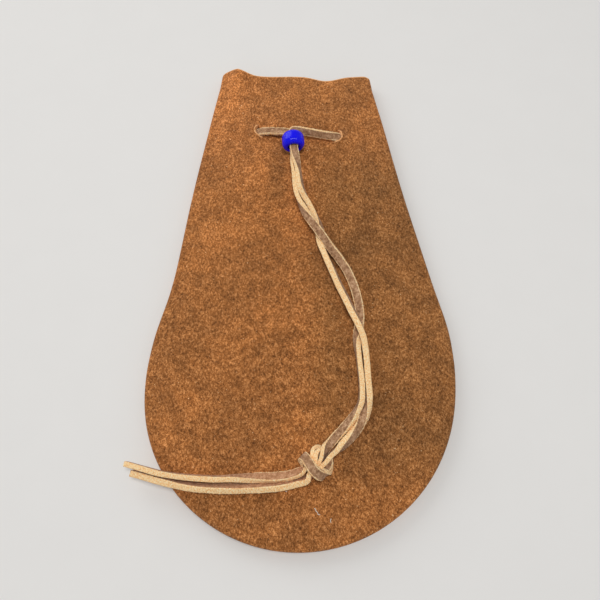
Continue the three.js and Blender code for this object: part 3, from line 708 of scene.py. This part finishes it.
def drawn(x, y):
    """Place of a point of the straight pattern, after the shoulders, the sway and the uneven mouth."""
    spread = SHOULDER / BELLY_RADIUS * gauss(y - (BELLY_Y + SHOULDER_ABOVE_BELLY), SHOULDER_HALF_LENGTH)
    px = x * (1 + spread) + centre_line(y)
    pull = smooth((y - (MOUTH_Y - MOUTH_REACH)) / MOUTH_REACH)
    return px, y + (mouth_line(px) - MOUTH_Y) * pull


def edge_distance(x, y):
    hx, dy = np.abs(x), y - BELLY_Y
    beside = BELLY_RADIUS - (hx * cos(SIDE_ANGLE) + dy * sin(SIDE_ANGLE))
    return np.where(np.arctan2(dy, hx) > SIDE_ANGLE, beside, BELLY_RADIUS - np.hypot(hx, dy))


def front_rise(x, y):
    crest = (CREST_HEIGHT + BELLY_SWELL * gauss(y - BELLY_Y, SWELL_HALF_LENGTH) - LEATHER / 2
             - FRONT_RUN_Z)
    from_fold = edge_distance(x, y) - FOLD_INSET
    rise = crest * (1 - (1 - clamp01(from_fold / DOME_DEPTH)) ** 3)
    px, py = drawn(x, y)
    for fx, fy, wx, wy, height in SOFT_FORMS:
        rise = rise + height * gauss(px - fx, wx) * gauss(py - fy, wy) * smooth(from_fold / EDGE_SOFTENING)
    return rise


def back_rise(x, y):
    along = clamp01((SLIT_X + SLIT_REACH / 2 - np.abs(x)) / SLIT_REACH)
    across = clamp01((RIDGE_FLAT + RIDGE_SLOPE - np.abs(y - LACE_ROW_Y)) / RIDGE_SLOPE)
    return RIDGE_LIFT * smooth(along) * smooth(across)


def side_stations():
    """Edge point, inward direction and the row's height at the middle line, mouth to bottom."""
    y = np.linspace(MOUTH_Y, TANGENT_Y, STRAIGHT_ROWS, endpoint=False)
    y = np.insert(y, 1, MOUTH_Y - RIM_WIDTH)
    half = (BELLY_RADIUS - (y - BELLY_Y) * sin(SIDE_ANGLE)) / cos(SIDE_ANGLE)
    turn = SIDE_ANGLE * smooth((MOUTH_Y - y) / SQUARE_MOUTH)
    spine = y - SPINE_DROP * (MOUTH_Y - y) / (MOUTH_Y - TANGENT_Y)
    t = np.linspace(0, 1, ARC_ROWS)
    angle = SIDE_ANGLE + (-pi / 2 - SIDE_ANGLE) * t
    spine_start, spine_end = TANGENT_Y - SPINE_DROP, BELLY_Y - SPINE_END_DROP
    edge = np.concatenate([
        np.stack([half, y], axis=1),
        np.stack([BELLY_RADIUS * np.cos(angle), BELLY_Y + BELLY_RADIUS * np.sin(angle)], axis=1)])
    turn = np.concatenate([turn, angle])
    inward = -np.stack([np.cos(turn), np.sin(turn)], axis=1)
    return edge, inward, np.concatenate([spine, spine_start + (spine_end - spine_start) * t])


def panel_middle(run_z, flap_z, rise):
    """Grid of the middle of the leather, rows by columns, and how far round the edge each row is."""
    up = copysign(1, run_z - flap_z)
    depth, height = [], []
    for k in range(FLAP_STEPS):
        depth.append(SEAM_ALLOWANCE + (FOLD_INSET - SEAM_ALLOWANCE) * k / FLAP_STEPS)
        height.append(flap_z)
    for k in range(FOLD_STEPS + 1):
        angle = -pi / 2 + pi * k / FOLD_STEPS
        depth.append(FOLD_INSET - FOLD_RADIUS * cos(angle))
        height.append((run_z + flap_z) / 2 + up * FOLD_RADIUS * sin(angle))
    fold_end = len(depth) - 1
    for k in range(1, NEAR_STEPS + 1):
        depth.append(FOLD_INSET + (NEAR_EDGE - FOLD_INSET) * k / NEAR_STEPS)
        height.append(run_z)
    edge, inward, spine = side_stations()
    xy = edge[:, None, :] + inward[:, None, :] * np.array(depth)[None, :, None]
    share = np.arange(1, ACROSS_STEPS + 1) / ACROSS_STEPS
    last = xy[:, -1:, :]
    middle = np.stack([np.zeros(len(spine)), spine], axis=1)[:, None, :]
    xy = np.concatenate([xy, last + (middle - last) * share[None, :, None]], axis=1)
    z = np.array(height + [run_z] * ACROSS_STEPS)[None, :] + np.zeros((len(edge), 1))
    on_run = np.arange(xy.shape[1]) > fold_end
    mirrored = xy[-2::-1] * (-1, 1)
    xy = np.concatenate([xy, mirrored])
    z = np.concatenate([z, z[-2::-1]])
    z = np.where(on_run[None, :], z + rise(xy[..., 0], xy[..., 1]), z)
    x, y = drawn(xy[..., 0], xy[..., 1])
    grid = np.stack([x, y, z], axis=2)
    level = grid[..., 2]
    low, high = fold_end - 1, fold_end + EASED_COLUMNS
    for _ in range(EASED_PASSES):
        level[:, low:high] = (level[:, low - 1:high - 1] + 2 * level[:, low:high]
                              + level[:, low + 1:high + 1]) / 4
    return grid, fold_end


def skin_normals(grid):
    """Unit normals of a grid. Its last column is the middle line, where both halves agree."""
    down, over = np.gradient(grid, axis=0), np.gradient(grid, axis=1)
    normal = np.cross(down, over)
    half = len(grid) // 2
    normal[half, -1] = normal[half, -2]
    normal = unit(normal)
    normal[:, -1] = unit(normal[:, -1] + normal[::-1, -1])
    return normal


def grid_faces(rows, columns, start, flip):
    i = np.arange(rows - 1)[:, None] * columns
    j = np.arange(columns - 1)[None, :]
    a = (start + i + j).ravel()
    quads = np.stack([a, a + columns, a + columns + 1, a + 1], axis=1)
    return (quads[:, ::-1] if flip else quads).tolist()


def panel_piece(name, middle, up):
    rows, columns = middle.shape[:2]
    normal = skin_normals(middle)
    inside = normal[rows // 4, columns - NEAR_STEPS]
    sign = 1 if inside[2] * up > 0 else -1
    outer = middle + normal * sign * LEATHER / 2
    inner = middle - normal * sign * LEATHER / 2
    count = rows * columns
    points = np.concatenate([outer.reshape(-1, 3), inner.reshape(-1, 3)])
    flip = sign < 0
    faces = grid_faces(rows, columns, 0, not flip) + grid_faces(rows, columns, count, flip)
    rim = ([i * columns for i in range(rows)], [(rows - 1) * columns + j for j in range(columns)],
           [j for j in range(columns)])
    cut_from = len(faces)
    for line in rim:
        for a, b in zip(line, line[1:]):
            faces.append((a, b, b + count, a + count))
    piece = add_mesh(name, points, faces, [suede, cut_suede])
    which = np.zeros(len(faces), np.int32)
    which[cut_from:] = 1
    for skin in (0, cut_from // 2):
        which[skin:skin + columns - 1] = 1
        which[skin + (rows - 2) * (columns - 1):skin + (rows - 1) * (columns - 1)] = 1
    piece.data.polygons.foreach_set("material_index", which)
    face_outwards(piece.data, SAME_POINT)
    return piece


# Slits of the front panel: the cut line from its top to its bottom, which hooks in under the lace,
# and the side that the lace goes to
FRONT_SLITS = [
    ([(16.5, 64.3), (17.4, 62.6), (17.5, 60.8), (16.4, 59.2), (14.2, 58.5)], 1),
    ([(-16.5, 67.3), (-17.6, 65.6), (-17.4, 63.8), (-16.2, 62.2), (-14.6, 61.2)], -1),
]
SLIT_STEPS = 48
SLIT_EASING = 40
SLIT_CRACK = 0.03  # half the width of the cut at its ends
SLIT_EDGE = 0.12
LIP_LIFT = 1.9  # the outer lip stands up
LIP_REACH = 2.3
LIP_HALF_LENGTH = 3.3
LIP_PRESS = 0.75  # the inner lip is pressed down
PRESS_REACH = 2.4
LIP_FIELD = 14.0  # nothing further than this from a slit moves
RIM_BEVEL = 0.7  # the pale slope of the lip's cut edge
RIM_RADIUS = 0.36  # the lip's curled rim
RIM_SINK = 0.12
CRESCENT = [  # height, and how far the cut is open to the inside and the outside
    (5.0, SLIT_EDGE, SLIT_EDGE), (8.2, 0.75, SLIT_EDGE), (9.3, 0.80, SLIT_EDGE + RIM_BEVEL),
    (13.0, 0.80, SLIT_EDGE + RIM_BEVEL),
]
BETWEEN_PANELS = 2.6  # a height between the panels' inner layers
LACE_ROOM = 0.14  # clearance round the lace in a slit
ROOM_REACH = 4.2  # from a slit's middle along the lace
ROW_REACH = 6.0  # from the row of slits, across it


def slit_line(corners):
    """The cut line, finely stepped: places, distances from its middle, and directions."""
    line = eased_line(corners, SLIT_STEPS + 1, SLIT_EASING)
    return line, distances(line) - distances(line)[-1] / 2, tangents(line)


def worn_forms(grid, fold_end):
    """Uneven height of soft leather: broad swells, small dents and puckers along the seam."""
    flat = grid.reshape(-1, 3).copy()
    flat[:, 2] = 0
    swell = sum(height * lumps(flat, wavelength, seed)
                for seed, (height, wavelength) in enumerate(WORN_FORMS, 1)).reshape(grid.shape[:2])
    column = np.arange(grid.shape[1])
    fade = smooth((column - fold_end) / 12.0)
    pucker = PUCKER_HEIGHT * np.cos(2 * pi * distances(grid[:, fold_end]) / STITCH_PITCH)
    near_seam = gauss(column - fold_end - 3, 5.0)
    return swell * fade[None, :] + pucker[:, None] * near_seam[None, :]


# A map of the room under the lace, in square cells
MAP_CORNER = np.array([-62.0, -102.0])
MAP_SIZE = (320, 520)
MAP_CELL = 0.4
MAP_REACH = 14  # cells over which the leather rises again beside the lace
MAP_SLOPE = 0.22
MAP_OPEN = 99.0  # height where nothing lies over the leather
LAID_ABOVE = 9.3  # the lace lies on the bag above this height,
LAID_WITHIN = 14.8  # and between the slits
LAID_GAP = 0.12


def lace_ceiling():
    """The map of how high the front panel's outer skin may stand."""
    section = ribbon_section()
    rings = (place[:, None] + wide[:, None] * section[None, :, :1] + thick[:, None] * section[None, :, 1:])
    at_slit = (np.abs(place[:, 0]) > LAID_WITHIN) & (np.abs(place[:, 1] - LACE_ROW_Y) < ROW_REACH)
    points = rings[(place[:, 2] > LAID_ABOVE) & ~at_slit].reshape(-1, 3)
    ceiling = np.full(MAP_SIZE, MAP_OPEN)
    index = ((points[:, :2] - MAP_CORNER) / MAP_CELL).astype(int)
    np.minimum.at(ceiling, (index[:, 0], index[:, 1]), points[:, 2])
    for _ in range(MAP_REACH):
        for axis in (0, 1):
            for shift in (1, -1):
                ceiling = np.minimum(ceiling, np.roll(ceiling, shift, axis) + MAP_SLOPE * MAP_CELL)
    return ceiling


def under_lace(grid):
    """How far the panel's middle has to sink to stay clear of the lace that lies on it."""
    index = ((grid[..., :2] - MAP_CORNER) / MAP_CELL).astype(int)
    limit = lace_ceiling()[index[..., 0], index[..., 1]] - LAID_GAP - LEATHER / 2
    return np.maximum(grid[..., 2] - limit, 0)


def slit_lips(x, y):
    """The outer lip of each slit stands over the lace, and the inner lip is pushed down by it."""
    lift = np.zeros_like(x)
    for corners, side in FRONT_SLITS:
        line, along, run = slit_line(corners)
        middle = line[SLIT_STEPS // 2]
        near = np.flatnonzero(np.hypot(x - middle[0], y - middle[1]).ravel() < LIP_FIELD)
        at = np.stack([x.ravel()[near], y.ravel()[near]], axis=1)
        away = at[:, None] - line[None]
        closest = np.linalg.norm(away, axis=2).argmin(axis=1)
        away = away[np.arange(len(near)), closest]
        outward = (away[:, 0] * -run[closest, 1] + away[:, 1] * run[closest, 0]) * side
        beyond = along[closest] + (away * run[closest]).sum(axis=1)
        step = smooth((outward + 0.3) / 0.6)
        lift.ravel()[near] += gauss(beyond, LIP_HALF_LENGTH) * (
            step * LIP_LIFT * gauss(np.maximum(outward, 0), LIP_REACH)
            - (1 - step) * LIP_PRESS * gauss(outward, PRESS_REACH))
    return lift


def slit_openings():
    """For each slit, its line, the direction to its outer lip and how far it is open, as a share."""
    for corners, side in FRONT_SLITS:
        line, along, run = slit_line(corners)
        out = np.stack([-run[:, 1], run[:, 0]], axis=1) * side
        yield line, out, np.sqrt(np.clip(1 - (along / along[-1]) ** 2, 0, 1))[:, None]


def slit_cutter():
    """A crescent through each slit, wider at the top so that the lip's cut edge shows."""
    points, faces = [], []
    for line, out, open_share in slit_openings():
        base, rings, count = len(points), len(CRESCENT), 2 * len(line)
        for z, inner, outer in CRESCENT:
            far = line + out * (SLIT_CRACK + outer * open_share)
            near = (line - out * (SLIT_CRACK + inner * open_share))[::-1]
            points += [(*spot, z) for spot in np.vstack([far, near])]
        faces += ring_faces(base, rings, count) + cap_faces(base, rings, count)
    return add_mesh("slit_cutter", points, faces, [cut_suede])


def top_of(run, xy):
    """Height of the front panel's outer skin at some places, eased along them. run is its grid
    from the fold on."""
    flat = run.reshape(-1, 3)
    away = np.linalg.norm(xy[:, None] - flat[None, :, :2], axis=2)
    weight = 1 / (away + 0.05) ** 4
    height = (weight * flat[:, 2]).sum(axis=1) / weight.sum(axis=1) + LEATHER / 2
    for _ in range(4):
        height[1:-1] = (height[:-2] + height[1:-1] + height[2:]) / 3
    return height


def slit_rims(front_run):
    """The paler rim of each slit's outer lip, which curls up over the lace."""
    points, faces = [], []
    for line, out, open_share in slit_openings():
        line = line + out * (SLIT_EDGE + (RIM_BEVEL - 0.1) * open_share)
        height = top_of(front_run, line + out * 0.5) - RIM_SINK
        uneven = 1 + 0.16 * lumps(np.c_[line, height], 0.9, 8)
        radius = RIM_RADIUS * (0.45 + 0.55 * open_share[:, 0]) * uneven
        tube(points, faces, np.c_[line, height], radius, 12)
    piece = add_mesh("slit_rims", points, faces, [cut_suede])
    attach(piece, "bag")
    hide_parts("front_panel")


def lace_room_cutter(low, high):
    """The lace's own room where it passes through a panel, between two heights."""
    grow = 2 * LACE_ROOM
    section = ribbon_section() * (1 + grow / LACE_WIDTH, 1 + grow / LACE_THICKNESS)
    points, faces = [], []
    for side in (1, -1):
        in_slit = (np.abs(place[:, 0] * side - SLIT_X) < ROOM_REACH) & (
            np.abs(place[:, 1] - LACE_ROW_Y) < ROW_REACH)
        near = np.flatnonzero(in_slit & (place[:, 2] > low) & (place[:, 2] < high))
        base = len(points)
        for i in near:
            points.extend(place[i] + wide[i] * section[:, :1] + thick[i] * section[:, 1:])
        faces += ring_faces(base, len(near), len(section)) + cap_faces(base, len(near), len(section))
    return add_mesh("lace_room", points, faces, [cut_suede])


def drop_crumbs(mesh):
    """Keeps the largest connected part of a mesh."""
    work = bmesh.new()
    work.from_mesh(mesh)
    left, parts = set(work.verts), []
    while left:
        part = [left.pop()]
        for vert in part:
            beside = {edge.other_vert(vert) for edge in vert.link_edges} & left
            left -= beside
            part.extend(beside)
        parts.append(part)
    parts.sort(key=len)
    crumbs = [vert for part in parts[:-1] for vert in part]
    bmesh.ops.delete(work, geom=crumbs, context="VERTS")
    work.to_mesh(mesh)
    work.free()


def cut_away(piece, tool):
    face_outwards(tool.data)
    cut = piece.modifiers.new("cut", "BOOLEAN")
    cut.operation = "DIFFERENCE"
    cut.solver = "MANIFOLD"
    cut.material_mode = "TRANSFER"
    cut.object = tool
    graph = bpy.context.evaluated_depsgraph_get()
    result = bpy.data.meshes.new_from_object(piece.evaluated_get(graph))
    piece.modifiers.remove(cut)
    bpy.data.objects.remove(tool)
    drop_crumbs(result)
    piece.data = result
    result.shade_smooth()
    result.set_sharp_from_angle(angle=radians(50))


front_middle, front_fold = panel_middle(FRONT_RUN_Z, FRONT_FLAP_Z, front_rise)
back_middle, _ = panel_middle(BACK_RUN_Z, BACK_FLAP_Z, back_rise)
front_middle[..., 2] += worn_forms(front_middle, front_fold)
front_middle[..., 2] += slit_lips(front_middle[..., 0], front_middle[..., 1])
front_middle[:, front_fold + 1:, 2] -= under_lace(front_middle)[:, front_fold + 1:]
front = panel_piece("front_suede", front_middle, 1)
back = panel_piece("back_suede", back_middle, -1)
cut_away(front, slit_cutter())
cut_away(front, lace_room_cutter(BETWEEN_PANELS, inf))
cut_away(back, lace_room_cutter(0, BETWEEN_PANELS))
front_run = front_middle[:, front_fold:]
slit_rims(front_run)
for piece, node in ((front, "front_panel"), (back, "back_panel")):
    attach(piece, "bag")
    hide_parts(node)


# Stitches of the turned seam, deep in the valley between the panels
STITCH_INSET = 0.95
STITCH_RADIUS = 0.2
STITCH_SLANT = 0.5  # how far a stitch's upper end is ahead of its lower end
STITCH_END = 0.75  # half the height of a stitch
STITCH_BEND = 0.3
SEAM_START = 2.0


def stitches():
    edge, inward, _ = side_stations()
    seam = edge + inward * STITCH_INSET
    seam = np.concatenate([seam, seam[-2::-1] * (-1, 1)])
    x, y = drawn(seam[:, 0], seam[:, 1])
    round_seam = distances(np.stack([x, y], axis=1))
    centre = (BACK_FLAP_Z + FRONT_FLAP_Z) / 2
    points, faces = [], []
    for at in np.arange(SEAM_START, round_seam[-1] - SEAM_START, STITCH_PITCH):
        low, high = at - STITCH_SLANT / 2, at + STITCH_SLANT / 2
        ends = [(np.interp(s, round_seam, x), np.interp(s, round_seam, y)) for s in (low, high)]
        line = [(*ends[0], centre - STITCH_END), (*ends[0], centre - STITCH_BEND),
                (*ends[1], centre + STITCH_BEND), (*ends[1], centre + STITCH_END)]
        tube(points, faces, line, STITCH_RADIUS)
    thread = plain_material("thread", 3000, (0.10, 0.045, 0.018), (0.2, 0.10, 0.045), 0.7, 0.0001)
    piece = add_mesh("seam_stitches", points, faces, [thread])
    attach(piece, "bag")


stitches()

# Three bits of pale lint on the nap, below the knot
LINT = [
    [(4.0, -84.4), (4.5, -84.7), (4.6, -85.4), (5.1, -85.6), (5.2, -86.3), (5.9, -86.4)],
    [(9.5, -87.6), (9.2, -88.1), (9.4, -88.8)],
    [(-5.3, -79.0), (-4.8, -79.3)],
]
LINT_RADIUS = 0.11
LINT_GAP = 0.05


def lint():
    points, faces = [], []
    for route in LINT:
        line = eased_line(route, 6 * len(route), 6)
        tube(points, faces, np.c_[line, top_of(front_run, line) + LINT_RADIUS + LINT_GAP], LINT_RADIUS)
    fibre = plain_material("lint", 4000, (0.62, 0.60, 0.52), (0.88, 0.86, 0.78), 0.9, 0.00005)
    piece = add_mesh("lint", points, faces, [fibre])
    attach(piece, "bag")


lint()

# The bead: a barrel turned about its own axis, with fine ribs round its ends
BEAD_END_ROUND = 1.5
BEAD_BARREL = 2.2  # how far along the bead its ends draw in
BORE_LIP = 0.4
END_LAND = 0.25  # the flat ring round the bore, where the ribs begin
LAND_RIB = 0.4  # their share of full height there
BEAD_SIDES = 160
RIB_COUNT = 40
RIB_HEIGHT = 0.06


def bead_profile():
    """(radius, along the axis, rib height) once round the bead's section."""
    outer, bore, half = BEAD_DIAMETER / 2, BEAD_BORE / 2, BEAD_LENGTH / 2
    profile = [(bore, s, 0) for s in np.linspace(BORE_LIP - half, half - BORE_LIP, 8)]
    for sign in (1, -1):
        side = []
        for angle in np.radians(np.linspace(0, 90, 8)):
            side.append((bore + BORE_LIP * (1 - cos(angle)),
                         sign * (half - BORE_LIP * (1 - sin(angle))), 0))
        side.append((outer - BEAD_END_ROUND - END_LAND, sign * half, LAND_RIB))
        for angle in np.radians(np.linspace(0, 90, 18)):
            side.append((outer - BEAD_END_ROUND * (1 - sin(angle)),
                         sign * (half - BEAD_BARREL * (1 - cos(angle))),
                         sin(2 * angle)))
        profile += side[1:] if sign > 0 else side[::-1]
    return np.array(profile[:-1])


def bead_piece():
    profile = bead_profile()
    count = len(profile)
    turn = np.arange(BEAD_SIDES) * 2 * pi / BEAD_SIDES
    rib = RIB_HEIGHT * np.cos(turn * RIB_COUNT)
    radius = profile[None, :, 0] - RIB_HEIGHT * profile[None, :, 2] + rib[:, None] * profile[None, :, 2]
    side = np.cross(BEAD_AXIS, UP)
    points = (BEAD_CENTRE + BEAD_AXIS * profile[None, :, 1:2]
              + radius[..., None] * (side * np.cos(turn)[:, None, None] + UP * np.sin(turn)[:, None, None]))
    faces = np.array(ring_faces(0, BEAD_SIDES + 1, count)) % (BEAD_SIDES * count)
    piece = add_mesh("bead_glossy", points.reshape(-1, 3), faces.tolist(), [bead_material()])
    face_outwards(piece.data)
    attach(piece, "bead_body")
    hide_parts("bead")


bead_piece()


# Floor and light
FLOOR_HALF = 2000.0


def add_light(name, place, size, power, colour):
    data = bpy.data.lights.new(name, "AREA")
    data.shape = "RECTANGLE"
    data.size, data.size_y = size
    data.energy = power
    data.color = colour
    lamp = bpy.data.objects.new(name, data)
    lamp.location = place
    lamp.rotation_euler = (-Vector(place)).to_track_quat("-Z", "Y").to_euler()
    bpy.context.scene.collection.objects.link(lamp)


def add_stage():
    corners = [(sx * FLOOR_HALF, sy * FLOOR_HALF, 0) for sx, sy in ((-1, -1), (1, -1), (1, 1), (-1, 1))]
    pale = plain_material("pale_floor", 60, (0.78, 0.775, 0.765), (0.80, 0.795, 0.785), 0.8)
    pale.node_tree.nodes["Principled BSDF"].inputs["Specular IOR Level"].default_value = 0.2
    add_mesh("floor", corners, [(0, 1, 2, 3)], [pale])
    add_light("key", (0.04, -0.08, 0.95), (0.28, 0.11), 4.0, (1.0, 0.98, 0.95))
    add_light("fill", (-0.60, 0.66, 0.50), (0.8, 0.8), 3.4, (1.0, 0.98, 0.96))
    world = bpy.data.worlds.new("studio")
    world.use_nodes = True
    world.node_tree.nodes["Background"].inputs["Color"].default_value = (1, 1, 1, 1)
    world.node_tree.nodes["Background"].inputs["Strength"].default_value = 0.36
    bpy.context.scene.world = world
    bpy.context.scene.view_settings.view_transform = "Standard"


add_stage()
